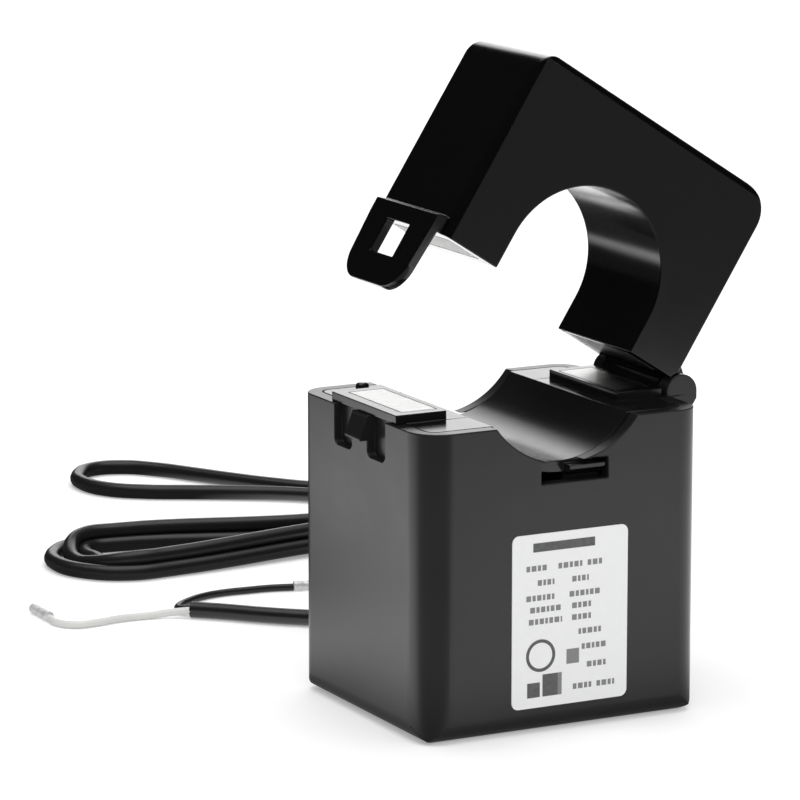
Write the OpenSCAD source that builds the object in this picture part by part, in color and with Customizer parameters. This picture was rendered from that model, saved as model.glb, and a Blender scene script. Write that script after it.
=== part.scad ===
/* [Case] */
// Width of the lower case, from the latch side to the hinge side
body_w = 42; // [42:0.5:48]
// Depth of the lower case, along the conductor
body_d = 36; // [35:0.5:42]
// Height of the lower case, from its foot to its rim
rim_h = 41.5; // [41:0.5:50]
// Wall of the lower case
wall = 2; // [1.6:0.1:2]
// Radius of the upright corners of the lower case
corner_r = 3.6; // [2.5:0.1:4.5]
// Radius of the edge round the foot
foot_r = 3; // [1:0.1:3.2]

/* [Window] */
// Diameter of the conductor window
window_d = 24; // [22:0.5:24]
// Height of the window's axis above the joint between the halves
window_rise = 5.3; // [5:0.1:6]

/* [Cap] */
// Depth of the hinged cap
cap_d = 19.5; // [19:0.5:21]
// Height of the hinged cap
cap_h = 27.9; // [27:0.1:32]
// Radius of the cap's top corner on the hinge side
cap_corner_r = 4.4; // [2:0.1:5]
// Radius of the cap's outer edges over its top and down its front corner above the latch
cap_edge_r = 1.1; // [0.6:0.1:1.4]
// How far the cap stands open, in degrees
open_deg = 32.5; // [0:0.5:90]

/* [Latch] */
// Width of the latch strap
strap_w = 17; // [14:0.5:18]
// How far the strap hangs below the joint
strap_drop = 9.4; // [8:0.1:11]
// Thickness of the strap
strap_t = 1.3; // [1.1:0.1:1.6]

/* [Hinge] */
// Diameter of the hinge pin
pin_d = 2; // [1.6:0.1:2.4]
// Outer diameter of the hinge knuckles
knuckle_d = 4.8; // [4:0.1:5]

/* [Core and coil] */
// Width of each limb of the core
limb_w = 5; // [4:0.1:5]
// Depth of the stack of core laminations
stack_d = 15; // [12:0.5:15]

/* [Lead] */
// Diameter of the lead
lead_d = 2.4; // [1.8:0.1:2.4]
// Length of the sleeves crimped on the ends of its two conductors
ferrule_l = 6; // [5:1:12]

/* [Hidden] */
$fn = 48;
eps = 0.01;
fit_gap = 0.1;

// Levels and the joint between the halves
seat_h = 1.2;
joint_z = rim_h + seat_h;
joint_gap = 0.2;
deck_t = 1.8;
window_r = window_d / 2;
window_x = 0.4;
window_z = joint_z + window_rise;
inner_w = body_w - 2 * wall;
inner_d = body_d - 2 * wall;
inner_r = corner_r - wall;

// The dip in the front and back walls is a little wider than the window
dip_r = window_r + 0.9;
dip_z = window_z + 1;

// The hinge stands outside the right wall
hinge_x = body_w / 2 + 1.5;
hinge_z = joint_z - 0.7;
knuckle_r = knuckle_d / 2;
knuckle_gap = 0.3;
knuckle_l = 14.4;
ear_w = 2.4;
ear_y = knuckle_l / 2 + knuckle_gap;
pin_front_y = ear_y + 1.4;

// Cap
cap_w = body_w - 0.6;
cap_z = joint_z + joint_gap;
cap_wall = 1.6;
cap_bore_wall = 1;
cap_foot_t = 1.2;
cap_top_r = 3;
cover_t = 1.4;

// Latch
strap_gap = 0.25;
strap_x = -body_w / 2 - strap_gap - strap_t;
strap_root = 2.4;
strap_slope = 0.4;
strap_taper = 0.5;
strap_corner_r = 4;
eye_w = 6.3;
eye_h = 4.8;
eye_top = 0.4;
pocket_w = 14.6;
pocket_h = 5.4;
pocket_t = 1.2;
catch_w = 4.4;
catch_h = 3.2;
catch_out = 1.1;

// Snap that holds the inner cover down, one in the front and one in the back wall
snap_x = 1.5;
snap_w = 10;
snap_h = 2.6;
snap_z = dip_z - dip_r - snap_h;
tongue_w = 5.4;
tongue_x = 3.6;
tongue_t = 1.2;
barb_root = 0.5;
barb_low = 0.2;
barb_tip = 1.5;
barb_top = 2.1;
barb_short = 0.3;

// Inner cover
trough_t = 1.6;
seat_out_x = body_w / 2 - 0.6;
seat_y = 9.25;

// Peg on the ledge behind the seat on the latch side
peg_x = -14;
peg_y = 12.8;
peg_r = 0.9;
peg_h = 1.2;
peg_bevel = 0.3;

// Core: two L-shaped stacks that meet inside the bobbin, and the U-shaped stack in the cap
limb_out_x = body_w / 2 - wall - 0.4;
limb_x = limb_out_x - limb_w;
core_corner_r = 2;
yoke_z = 14;
yoke_mid_z = yoke_z + limb_w / 2;
meet_gap = 0.1;
upper_yoke_z = window_z + window_r + cap_bore_wall + 0.3;
upper_core_top = upper_yoke_z + limb_w;

// Coil
bobbin_l = 2 * limb_x - 0.4;
bobbin_wall = 1;
bobbin_h = 22.6;
bobbin_d = inner_d - 1;
tube_h = limb_w + 0.3;
tube_d = stack_d + 0.3;
winding_h = 19;
winding_d = bobbin_d - 4;
tape_t = 0.3;

// Board on the bobbin's flanges, above the coil, and its two wires from the outlet
board_w = 20;
board_d = 14;
board_t = 1;
board_z = yoke_mid_z + bobbin_h / 2;
board_top = board_z + board_t;
wire_r = 0.45;
wire_points = [
    [0, 14.4, 9], [0, 14.4, 13], [0, 14.4, 19], [0, 14.4, 24], [0, 14.2, 26.6], [0, 13.2, 28.4], [0, 11.4, 29.2],
    [0, 9, 29.3], [0, 6, 29.3]
];
diode_r = 1.2;
diode_lead_r = 0.35;

// Label
label_w = 17.4;
label_h = 23.4;
label_x = 0.8;
label_z = 3.6;
label_t = 0.15;

// Lead: outlet, strain relief and the route of the stretches that are not wound.
// Y counts from the back wall.
outlet_x = 8;
outlet_h = 9;
relief_l = 14;
relief_flange_r = 3.5;
relief_flange_t = 1.2;
relief_neck_r = 2.5;
lead_r = lead_d / 2;
lead_sides = 8;
run_points = [
    [8, 14, 9], [8, 18, 8.8], [8.4, 24, 7.2], [9.6, 30, 4.8], [12, 36, 2.6], [16, 41.2, 1.4], [21.4, 45.2, 1.2],
    [27.6, 48.4, 1.2], [34, 50.8, 1.2], [40.4, 53, 1.2], [46.4, 55, 1.2], [51.6, 57.4, 1.2], [56, 61, 1.2],
    [59, 66, 1.2]
];
tail_points = [
    [51, 83.4, 4], [46, 85.2, 3.6], [41.4, 88.6, 2.2], [37.6, 93.4, 1.3], [33.6, 99.6, 1.2], [28.4, 104.8, 1.2],
    [21.8, 109.2, 1.2], [15, 113.2, 1.2], [8.8, 116.8, 1.2], [4.2, 121.2, 1.2], [2.4, 127, 1.2], [3.8, 132.8, 1.2],
    [8, 136.6, 1.2], [13.2, 135.8, 1.2], [17.6, 131.4, 1.2], [21.2, 125.6, 1.2], [25, 119, 1.2],
    [29.4, 112.2, 1.2], [34.8, 105.6, 1.2], [41.6, 99.8, 1.2], [49, 95.6, 1.2], [56.6, 92, 1.2], [63.4, 87, 1.2],
    [68.4, 80.4, 1.2], [70.6, 72.4, 1.2], [69.4, 64.2, 1.2], [64.8, 57, 1.2], [58.4, 50.6, 1.2], [51, 44.6, 1.2],
    [43, 39.2, 1.2], [35, 34.6, 1.2], [27, 30.8, 1.2], [19, 28, 1.2], [11, 26.4, 1.2], [4, 26, 1.2],
    [-1.6, 27.2, 1.2], [-6, 30.4, 1.2], [-10.4, 34.4, 1.2], [-14.2, 38.4, 1.2], [-17.9, 41.8, 1.2]
];

// The two conductors, from the end of the jacket to their sleeves
conductor_r = 0.55;
white_points = [
    [-18.3, 41.3, 1.2], [-20.4, 42.7, 0.9], [-23.8, 43.7, 0.56], [-28.3, 44, 0.56], [-32.4, 43.4, 0.56],
    [-35.4, 43.6, 0.56], [-37.2, 45.8, 0.56], [-37.2, 49, 0.56]
];
black_points = [
    [-17.5, 42.3, 1.2], [-18.6, 44.2, 0.9], [-17.6, 46.8, 0.6], [-15, 49, 0.56], [-11.8, 50.6, 0.56],
    [-8.4, 51.2, 0.56], [-4.6, 51, 0.56], [-1, 50.6, 0.56], [2.4, 49.6, 0.56]
];
ferrule_r = 0.75;

// Hank of the spare length: two lobes and a waist, with a band round the waist. Y counts from the back wall.
hank_h = 5;
front_lobe = [-12.8, 77, 12.2];
waist = [20, 72.5, 5.2];
tie_x = 26;
rear_lobe = [50, 73.5, 11];
tie_w = 3;
tie_t = 0.5;

// Rounded rectangle in plan, centred
module plan(w, d, r) {
    x = w / 2 - r;
    y = d / 2 - r;
    for (sx = [-1, 1], sy = [-1, 1]) translate([sx * x, sy * y]) circle(r);
    square([w, d - 2 * r], center = true);
    square([w - 2 * r, d], center = true);
}

// A flat outline in X and Z, extruded along Y from y0 to y1
module along_y(y0, y1) {
    translate([0, y1, 0]) rotate([90, 0, 0]) linear_extrude(y1 - y0) children();
}

// A flat outline in Y and Z, extruded along X from x0 to x1
module along_x(x0, x1) {
    translate([x0, 0, 0]) rotate([90, 0, 90]) linear_extrude(x1 - x0) children();
}

// A round bar along Y
module bar_y(x, z, r, y0, y1) {
    translate([x, y1, z]) rotate([90, 0, 0]) cylinder(r = r, h = y1 - y0);
}

module box(x0, x1, y0, y1, z0, z1) {
    translate([x0, y0, z0]) cube([x1 - x0, y1 - y0, z1 - z0]);
}

// Side outline of width w and height h with both lower corners rounded
module foot_outline(w, h, r) {
    translate([-w / 2, r]) square([w, h - r]);
    translate([-w / 2 + r, 0]) square([w - 2 * r, r + eps]);
    for (s = [-1, 1]) translate([s * (w / 2 - r), r]) circle(r);
}

// Moves what belongs to the cap from its closed place to where it stands open
module opened() {
    translate([hinge_x, 0, hinge_z]) rotate([0, open_deg, 0]) translate([-hinge_x, 0, -hinge_z]) children();
}

module ears() {
    for (s = [-1, 1]) {
        y0 = s > 0 ? ear_y : -ear_y - ear_w;
        along_y(y0, y0 + ear_w) {
            translate([hinge_x, hinge_z]) circle(knuckle_r);
            polygon([[body_w / 2 - 1, hinge_z - 7], [body_w / 2, hinge_z - 7], [hinge_x + knuckle_r, hinge_z - 1],
                     [hinge_x + knuckle_r, hinge_z], [body_w / 2 - 1, rim_h]]);
        }
    }
}

module lower_case_solid() {
    difference() {
        union() {
            intersection() {
                linear_extrude(rim_h) plan(body_w, body_d, corner_r);
                along_y(-body_d, body_d) foot_outline(body_w, rim_h, foot_r);
                along_x(-body_w, body_w) foot_outline(body_d, rim_h, foot_r);
            }
            ears();
        }
        translate([0, 0, wall]) linear_extrude(rim_h) plan(inner_w, inner_d, inner_r);
        bar_y(window_x, dip_z, dip_r, -body_d, body_d);
        bar_y(hinge_x, hinge_z, knuckle_r + knuckle_gap, -ear_y, ear_y);
        bar_y(hinge_x, hinge_z, pin_d / 2, -pin_front_y, body_d / 2);
        for (s = [-1, 1]) translate([0, s * body_d / 2, 0])
            box(snap_x - snap_w / 2, snap_x + snap_w / 2, -2 * wall, 2 * wall, snap_z, snap_z + snap_h + 0.2);
        latch_pockets();
        bar_y(outlet_x, outlet_h, relief_neck_r, body_d / 2 - 2 * wall, body_d);
    }
}

module latch_pockets() {
    for (s = [-1, 1]) {
        y0 = s > 0 ? catch_w / 2 : -pocket_w / 2;
        y1 = s > 0 ? pocket_w / 2 : -catch_w / 2;
        along_x(-body_w, -body_w / 2 + pocket_t) {
            translate([y0, rim_h - pocket_h + 1]) square([y1 - y0, pocket_h]);
            translate([y0 + 1, rim_h - pocket_h]) square([y1 - y0 - 2, 2]);
            for (y = [y0 + 1, y1 - 1]) translate([y, rim_h - pocket_h + 1]) circle(1);
        }
    }
}

module catch() {
    z1 = rim_h - 0.2;
    along_y(-catch_w / 2, catch_w / 2)
        polygon([[-body_w / 2 + eps, z1], [-body_w / 2 - catch_out, z1 - catch_h + 0.4],
                 [-body_w / 2 - catch_out, z1 - catch_h], [-body_w / 2 + eps, z1 - catch_h]]);
}

module lower_case() {
    color([0.13, 0.13, 0.13]) union() {
        lower_case_solid();
        catch();
    }
}

// Raised block on each side of the window: it reaches over the side wall's rim
module seat(s) {
    mirror([s > 0 ? 0 : 1, 0, 0]) {
        box(0, inner_w / 2 - fit_gap, -seat_y, seat_y, rim_h - deck_t, joint_z);
        box(0, seat_out_x, -seat_y, seat_y, rim_h, joint_z);
    }
}

// Tongue with a barb that snaps into the opening under the dip
module snap_tongue(s) {
    y_in = inner_d / 2 - fit_gap;
    x0 = tongue_x - tongue_w / 2;
    mirror([0, s > 0 ? 0 : 1, 0]) {
        box(x0, x0 + tongue_w, y_in - tongue_t, y_in, snap_z - 1, window_z - window_r - 1);
        along_x(x0, x0 + tongue_w)
            polygon([[y_in - barb_root, snap_z + barb_low], [y_in + wall - barb_short, snap_z + barb_tip],
                     [y_in + wall - barb_short, snap_z + barb_top], [y_in - barb_root, snap_z + barb_top]]);
    }
}

module peg() {
    translate([peg_x, peg_y, rim_h]) {
        translate([0, 0, -1]) cylinder(r = peg_r, h = peg_h - peg_bevel + 1);
        translate([0, 0, peg_h - peg_bevel]) cylinder(r1 = peg_r, r2 = peg_r - peg_bevel, h = peg_bevel);
    }
}

// Slots for the two limbs of a core stack, from z0 to z1
module limb_slots(z0, z1) {
    g = fit_gap;
    for (s = [-1, 1]) mirror([s > 0 ? 0 : 1, 0, 0])
        box(limb_x - g, limb_out_x + g, -stack_d / 2 - g, stack_d / 2 + g, z0, z1);
}

module inner_cover() {
    y = inner_d / 2 - fit_gap;
    color([0.16, 0.16, 0.16]) difference() {
        union() {
            translate([0, 0, rim_h - deck_t])
                linear_extrude(deck_t) plan(inner_w - 2 * fit_gap, 2 * y, inner_r);
            intersection() {
                bar_y(window_x, window_z, window_r + trough_t, -y, y);
                box(-body_w, body_w, -body_d, body_d, 0, rim_h - 1);
            }
            for (s = [-1, 1]) seat(s);
            for (s = [-1, 1]) snap_tongue(s);
            peg();
        }
        bar_y(window_x, window_z, window_r, -body_d, body_d);
        bar_y(hinge_x, hinge_z, knuckle_r + knuckle_gap, -ear_y - ear_w - knuckle_gap, ear_y + ear_w + knuckle_gap);
        limb_slots(0, joint_z + 1);
    }
}

// One L-shaped stack: a limb that rises to the joint and half of the yoke
module core_half(s) {
    r = core_corner_r;
    mirror([s > 0 ? 0 : 1, 0, 0]) along_y(-stack_d / 2, stack_d / 2) {
        translate([limb_x, yoke_z + r]) square([limb_w, joint_z - yoke_z - r]);
        translate([meet_gap / 2, yoke_z]) square([limb_out_x - r - meet_gap / 2, limb_w]);
        translate([limb_out_x - r, yoke_z + r]) circle(r);
    }
}

module core_left() {
    color([0.62, 0.62, 0.6]) core_half(-1);
}

module core_right() {
    color([0.62, 0.62, 0.6]) core_half(1);
}

module coil_outline(h, d, r) {
    translate([0, yoke_mid_z]) plan(d, h, r);
}

module bobbin() {
    half = bobbin_l / 2;
    color([0.85, 0.83, 0.75]) difference() {
        union() {
            for (s = [-1, 1])
                along_x(s > 0 ? half - bobbin_wall : -half, s > 0 ? half : -half + bobbin_wall)
                    coil_outline(bobbin_h, bobbin_d, 3);
            along_x(-half, half) coil_outline(tube_h + 2 * bobbin_wall, tube_d + 2 * bobbin_wall, 1);
        }
        along_x(-body_w, body_w) coil_outline(tube_h, tube_d, 0.3);
    }
}

module coil_layer(h, d, r, h_in, d_in, r_in) {
    half = bobbin_l / 2 - bobbin_wall;
    difference() {
        along_x(-half, half) coil_outline(h, d, r);
        along_x(-body_w, body_w) coil_outline(h_in, d_in, r_in);
    }
}

module secondary_winding() {
    color([0.72, 0.42, 0.18])
        coil_layer(winding_h, winding_d, 4, tube_h + 2 * bobbin_wall, tube_d + 2 * bobbin_wall, 1);
}

module winding_tape() {
    color([0.85, 0.75, 0.3])
        coil_layer(winding_h + 2 * tape_t, winding_d + 2 * tape_t, 4 + tape_t, winding_h, winding_d, 4);
}

module terminal_board() {
    color([0.1, 0.32, 0.2]) translate([0, 0, board_z]) linear_extrude(board_t) plan(board_w, board_d, 0.6);
}

// Two diodes in one can, with its leads bent down to the board
module surge_diode() {
    z = board_top + diode_r;
    half = 2.5;
    reach = 6;
    color([0.12, 0.12, 0.12]) {
        translate([-half, 0, z]) rotate([0, 90, 0]) cylinder(r = diode_r, h = 2 * half);
        for (s = [-1, 1]) {
            translate([s > 0 ? half : -reach, 0, z]) rotate([0, 90, 0]) cylinder(r = diode_lead_r, h = reach - half);
            translate([s * (reach - diode_lead_r), 0, board_top]) cylinder(r = diode_lead_r, h = diode_r);
        }
    }
}

module board_wires() {
    color([0.75, 0.1, 0.1]) for (s = [-1, 1]) translate([outlet_x + s * 0.8, 0, 0]) tube(wire_points, wire_r, [1, 0, 0]);
}

// Moulded sleeve: a flange on each side of the wall and a tail that tapers along the lead
module strain_relief() {
    in_y = body_d / 2 - wall;
    out_y = body_d / 2;
    color([0.1, 0.1, 0.1]) translate([outlet_x, 0, outlet_h]) rotate([-90, 0, 0]) rotate_extrude()
        polygon([[0, in_y - 0.8], [relief_flange_r - 0.4, in_y - 0.8], [relief_flange_r - 0.4, in_y],
                 [relief_neck_r, in_y], [relief_neck_r, out_y], [relief_flange_r, out_y],
                 [relief_flange_r, out_y + relief_flange_t], [2.4, out_y + relief_flange_t],
                 [1.8, out_y + relief_l], [0, out_y + relief_l]]);
}

module rating_label() {
    color([0.93, 0.93, 0.93]) along_y(-body_d / 2 - label_t, -body_d / 2)
        translate([label_x, label_z + label_h / 2]) plan(label_w, label_h, 1);
}

module hinge_pin() {
    color([0.6, 0.6, 0.62]) bar_y(hinge_x, hinge_z, pin_d / 2, -pin_front_y, ear_y + ear_w);
}

// Front outline of the cap: a block with one round top corner and an arched window
module cap_outline(inset, bore_inset) {
    x0 = -cap_w / 2 + inset;
    x1 = cap_w / 2 - inset;
    z1 = cap_z + cap_h - inset;
    r = cap_corner_r - inset;
    difference() {
        union() {
            translate([x0, cap_z]) square([x1 - x0, z1 - cap_z - r]);
            translate([x0, cap_z]) square([x1 - x0 - r, z1 - cap_z - cap_top_r]);
            translate([x0 + cap_top_r, cap_z]) square([x1 - x0 - r - cap_top_r, z1 - cap_z]);
            translate([x0 + cap_top_r, z1 - cap_top_r]) circle(cap_top_r);
            translate([x1 - r, z1 - r]) circle(r);
        }
        translate([window_x, window_z]) circle(window_r + bore_inset);
        translate([window_x - window_r - bore_inset, cap_z - 1])
            square([2 * (window_r + bore_inset), window_z - cap_z + 1]);
    }
}

// The cap's block, its outer edges rounded over the top and down the front corner above the latch
module cap_block() {
    side_h = cap_h + 10;
    intersection() {
        along_y(-cap_d / 2, cap_d / 2) cap_outline(0, 0);
        along_x(-body_w, body_w) translate([0, cap_z + cap_h - side_h / 2]) plan(cap_d, side_h, cap_edge_r);
        linear_extrude(cap_z + cap_h + 1) {
            translate([cap_edge_r - cap_w / 2, -cap_d / 2]) square([cap_w - cap_edge_r, cap_d]);
            translate([-cap_w / 2, cap_edge_r - cap_d / 2]) square([cap_w, cap_d - cap_edge_r]);
            translate([cap_edge_r - cap_w / 2, cap_edge_r - cap_d / 2]) circle(cap_edge_r);
        }
    }
}

module strap() {
    x1 = strap_x + strap_t;
    difference() {
        along_x(strap_x, x1) {
            half = strap_w / 2;
            y = half - strap_taper - strap_corner_r;
            polygon([[-half, cap_z + strap_root], [half, cap_z + strap_root], [half, cap_z],
                     [half - strap_taper, cap_z - strap_drop + strap_corner_r],
                     [-half + strap_taper, cap_z - strap_drop + strap_corner_r], [-half, cap_z]]);
            translate([-y, cap_z - strap_drop]) square([2 * y, strap_corner_r + eps]);
            for (s = [-1, 1]) translate([s * y, cap_z - strap_drop + strap_corner_r]) circle(strap_corner_r);
        }
        box(strap_x - 1, x1 + 1, -eye_w / 2, eye_w / 2, cap_z - eye_top - eye_h, cap_z - eye_top);
        along_y(-body_d, body_d)
            polygon([[strap_x - 1, cap_z + strap_root - strap_slope], [strap_x, cap_z + strap_root - strap_slope],
                     [x1, cap_z + strap_root], [x1, cap_z + strap_root + 1], [strap_x - 1, cap_z + strap_root + 1]]);
    }
    box(x1 - eps, -cap_w / 2 + 0.5, -strap_w / 2, strap_w / 2, cap_z, cap_z + strap_root);
}

module cap_knuckle() {
    along_y(-knuckle_l / 2, knuckle_l / 2) {
        translate([hinge_x, hinge_z]) circle(knuckle_r);
        polygon([[cap_w / 2 - 1, cap_z], [hinge_x, hinge_z], [hinge_x + knuckle_r, hinge_z],
                 [hinge_x + knuckle_r, hinge_z + 1.2], [cap_w / 2, cap_z + 3.6], [cap_w / 2 - 1, cap_z + 3.6]]);
    }
}

module upper_case() {
    front = -cap_d / 2;
    back = cap_d / 2;
    color([0.1, 0.1, 0.1]) opened() difference() {
        union() {
            cap_block();
            strap();
            cap_knuckle();
        }
        along_y(front + cap_wall, back + 1) intersection() {
            cap_outline(cap_wall, cap_bore_wall);
            translate([-body_w, cap_z + cap_foot_t]) square([2 * body_w, cap_h]);
        }
        along_y(back - cover_t, back + 1) cap_outline(0.8, 0.5);
        for (s = [-1, 1]) translate([0, s * (knuckle_l / 2 + body_d / 2), 0])
            bar_y(hinge_x, hinge_z, knuckle_r + knuckle_gap, -body_d / 2, body_d / 2);
        bar_y(hinge_x, hinge_z, pin_d / 2 + 0.05, -body_d, body_d);
        limb_slots(cap_z - 1, cap_z + cap_foot_t + 1);
    }
}

module upper_cover() {
    color([0.1, 0.1, 0.1]) opened()
        along_y(cap_d / 2 - cover_t, cap_d / 2) cap_outline(0.8 + fit_gap, 0.5 + fit_gap);
}

// U-shaped stack whose two feet close the core over the lower limbs
module upper_core() {
    r = core_corner_r;
    x = limb_out_x;
    top = upper_core_top;
    color([0.62, 0.62, 0.6]) opened() along_y(-stack_d / 2, stack_d / 2) difference() {
        union() {
            translate([-x, cap_z]) square([2 * x, top - cap_z - r]);
            translate([-x + r, cap_z]) square([2 * (x - r), top - cap_z]);
            for (s = [-1, 1]) translate([s * (x - r), top - r]) circle(r);
        }
        translate([-limb_x, cap_z - 1]) square([2 * limb_x, upper_yoke_z - cap_z + 1]);
    }
}

// Springy pad that presses the upper stack down on the lower one
module core_pad() {
    color([0.35, 0.35, 0.35]) opened() box(-13, 13, -6, 6, upper_core_top, cap_z + cap_h - cap_wall);
}

// Unit vector along a list of points at point i
function heading(p, i) =
    let (a = p[max(i - 1, 0)], b = p[min(i + 1, len(p) - 1)], d = b - a) d / norm(d);

// Ring of the tube round point i; the tube never runs along ref
function ring(p, i, r, ref) =
    let (t = heading(p, i), side = cross(t, ref), u = side / norm(side), v = cross(u, t))
    [for (k = [0:lead_sides - 1]) let (a = 360 * (k + 0.5) / lead_sides) p[i] + r * (cos(a) * u + sin(a) * v)];

module tube(p, r, ref) {
    n = len(p);
    pts = [for (i = [0:n - 1]) each ring(p, i, r, ref)];
    sides = [for (i = [0:n - 2], k = [0:lead_sides - 1])
        let (a = i * lead_sides + k, b = i * lead_sides + (k + 1) % lead_sides)
        [a, b, b + lead_sides, a + lead_sides]];
    ends = [[for (k = [lead_sides - 1:-1:0]) k], [for (k = [0:lead_sides - 1]) (n - 1) * lead_sides + k]];
    polyhedron(pts, concat(sides, ends), convexity = 6);
}

// Moves what lies behind the case to where the case's back wall is
module behind() {
    translate([0, body_d / 2, 0]) children();
}

module lead_run() {
    color([0.08, 0.08, 0.08]) behind() tube(run_points, lead_r, [0, 0, 1]);
}

module lead_tail() {
    color([0.08, 0.08, 0.08]) behind() tube(tail_points, lead_r, [0, 0, 1]);
}

// Flat stretch of the hank, from one rounded end to the other: each is its centre and its radius
module hank_lobe(a, b) {
    hull() for (e = [a, b]) translate([e[0], e[1]]) circle(e[2], $fn = 32);
}

module lead_hank() {
    waist_end = [tie_x + tie_w, waist[1], waist[2]];
    color([0.08, 0.08, 0.08]) behind() difference() {
        linear_extrude(hank_h) {
            hank_lobe(front_lobe, waist);
            hank_lobe(waist, waist_end);
            hank_lobe(waist_end, rear_lobe);
        }
        tie_place() difference() {
            plan(4 * waist[2], 4 * hank_h, 1);
            square([2 * waist[2], hank_h - tie_t], center = true);
        }
    }
}

// Across the hank at its waist
module tie_place() {
    translate([tie_x, waist[1], (hank_h + tie_t) / 2]) along_x(-tie_w / 2, tie_w / 2) children();
}

module lead_tie() {
    color([0.2, 0.2, 0.2]) behind() tie_place() difference() {
        plan(2 * waist[2] + 2 * tie_t, hank_h + tie_t, tie_t);
        square([2 * waist[2], hank_h - tie_t], center = true);
    }
}

module lead_conductors() {
    color([0.85, 0.85, 0.85]) behind() for (p = [white_points, black_points]) tube(p, conductor_r, [0, 0, 1]);
}

// One sleeve on the end of each conductor
module lead_ferrules() {
    color([0.75, 0.75, 0.78]) behind() for (p = [white_points, black_points]) {
        last = len(p) - 1;
        t = heading(p, last);
        translate(p[last] + [0, 0, ferrule_r - conductor_r]) rotate([0, 90, atan2(t[1], t[0])])
            cylinder(r = ferrule_r, h = ferrule_l);
    }
}

lower_case();
inner_cover();
core_left();
core_right();
bobbin();
secondary_winding();
winding_tape();
terminal_board();
surge_diode();
board_wires();
strain_relief();
rating_label();
hinge_pin();
upper_case();
upper_cover();
upper_core();
core_pad();
lead_run();
lead_hank();
lead_tail();
lead_tie();
lead_conductors();
lead_ferrules();
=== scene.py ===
import math
import bpy
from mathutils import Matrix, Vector


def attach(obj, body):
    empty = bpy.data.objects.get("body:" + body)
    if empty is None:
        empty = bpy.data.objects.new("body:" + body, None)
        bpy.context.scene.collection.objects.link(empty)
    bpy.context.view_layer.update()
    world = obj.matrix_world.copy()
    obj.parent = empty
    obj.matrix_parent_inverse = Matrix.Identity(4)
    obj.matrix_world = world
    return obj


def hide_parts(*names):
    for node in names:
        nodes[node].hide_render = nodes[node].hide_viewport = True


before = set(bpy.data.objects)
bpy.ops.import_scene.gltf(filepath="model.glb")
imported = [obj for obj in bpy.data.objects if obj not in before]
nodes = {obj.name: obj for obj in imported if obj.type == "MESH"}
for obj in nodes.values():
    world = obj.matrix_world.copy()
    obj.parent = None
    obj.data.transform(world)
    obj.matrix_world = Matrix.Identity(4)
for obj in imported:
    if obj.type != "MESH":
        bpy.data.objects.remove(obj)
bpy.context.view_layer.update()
mm = 0.001
print("frame loaded:", len(nodes), "nodes")

backWall = 18 * mm  # y of the case's back wall, where the lead comes out

shot = {"from": (-284.8, -517.1, 160.0), "at": (-11.4, 6.8, 41.1), "lens": 202.5, "sensor": 36,
        "clip": (0.01, 60)}


def makeCamera():
    data = bpy.data.cameras.new("camera")
    data.lens = shot["lens"]
    data.sensor_width = shot["sensor"]
    data.clip_start, data.clip_end = shot["clip"]
    camera = bpy.data.objects.new("camera", data)
    bpy.context.scene.collection.objects.link(camera)
    camera.location = Vector(shot["from"]) * mm
    gaze = Vector(shot["at"]) - Vector(shot["from"])
    camera.rotation_euler = gaze.to_track_quat("-Z", "Y").to_euler()
    bpy.context.scene.camera = camera


makeCamera()
print("camera placed")

# One cord from the outlet, through the hank, to its bare end. Places are in millimetres,
# y counted from the back wall.
lead = {
    "diameter": 2.4,
    "turns": 3,
    "run": [  # from the outlet to the hank
        (8, 14, 9), (8, 18, 8.8), (8.4, 24, 7.2), (9.6, 30, 4.8), (12, 36, 2.6), (16, 41.2, 1.4),
        (21.4, 45.2, 1.2), (27.6, 48.4, 1.2), (34, 50.8, 1.2), (40.4, 53, 1.2), (46.4, 55, 1.2),
        (51.6, 57.4, 1.2), (56, 61, 1.2),
    ],
    "tail": [  # from the hank to the end of the jacket
        (51, 83.4, 4), (46, 85.2, 3.6), (41.4, 88.6, 2.2), (37.6, 93.4, 1.3), (33.6, 99.6, 1.2),
        (28.4, 104.8, 1.2), (21.8, 109.2, 1.2), (15, 113.2, 1.2), (8.8, 116.8, 1.2),
        (4.2, 121.2, 1.2), (2.4, 127, 1.2), (3.8, 132.8, 1.2), (8, 136.6, 1.2),
        (13.2, 135.8, 1.2), (17.6, 131.4, 1.2), (21.2, 125.6, 1.2), (25, 119, 1.2),
        (29.4, 112.2, 1.2), (34.8, 105.6, 1.2), (41.6, 99.8, 1.2), (49, 95.6, 1.2),
        (56.6, 92, 1.2), (63.4, 87, 1.2), (68.4, 80.4, 1.2), (70.6, 72.4, 1.2),
        (69.4, 64.2, 1.2), (64.8, 57, 1.2), (58.4, 50.6, 1.2), (51, 44.6, 1.2), (43, 39.2, 1.2),
        (35, 34.6, 1.2), (27, 30.8, 1.2), (19, 28, 1.2), (11, 26.4, 1.2), (4, 26, 1.2),
        (-1.6, 27.2, 1.2), (-6, 30.4, 1.2), (-10.4, 34.4, 1.2), (-14.2, 38.4, 1.2),
        (-17.9, 41.8, 1.2),
    ],
    "frontLobe": (-12.8, 77, 12.2),  # centre and outer radius of the hank's latch-side lobe
    "rearLobe": (50, 73.5, 11),
    "waist": (20, 29, 72.5),  # where the waist starts and ends, and its y
    "rearIn": (-30, 5, 40, 75, 105),  # degrees round the lobes at which the cord is placed
    "front": (75, 110, 145, 180, 215, 250, 285),
    "rearOut": (-105, -70),
}

# One entry a turn: how far it lies inside the hank's outline at each place, and how high
turnPlan = {
    "entry": [(0, 1.2), (2.5, 1.2), (2.6, 3.6), (0.1, 3.6)],
    "waist": [(3.7, 1.7), (1.25, 1.7), (2.5, 3.8)],
    "side": [(0, 1.2), (2.6, 1.2), (1.3, 3.2)],
    "tip": [(0, 1.2), (6.4, 1.2), (3.2, 1.3)],
    "leave": [(0, 1.2), (2.5, 1.2), (1.2, 3.2)],
}


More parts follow.
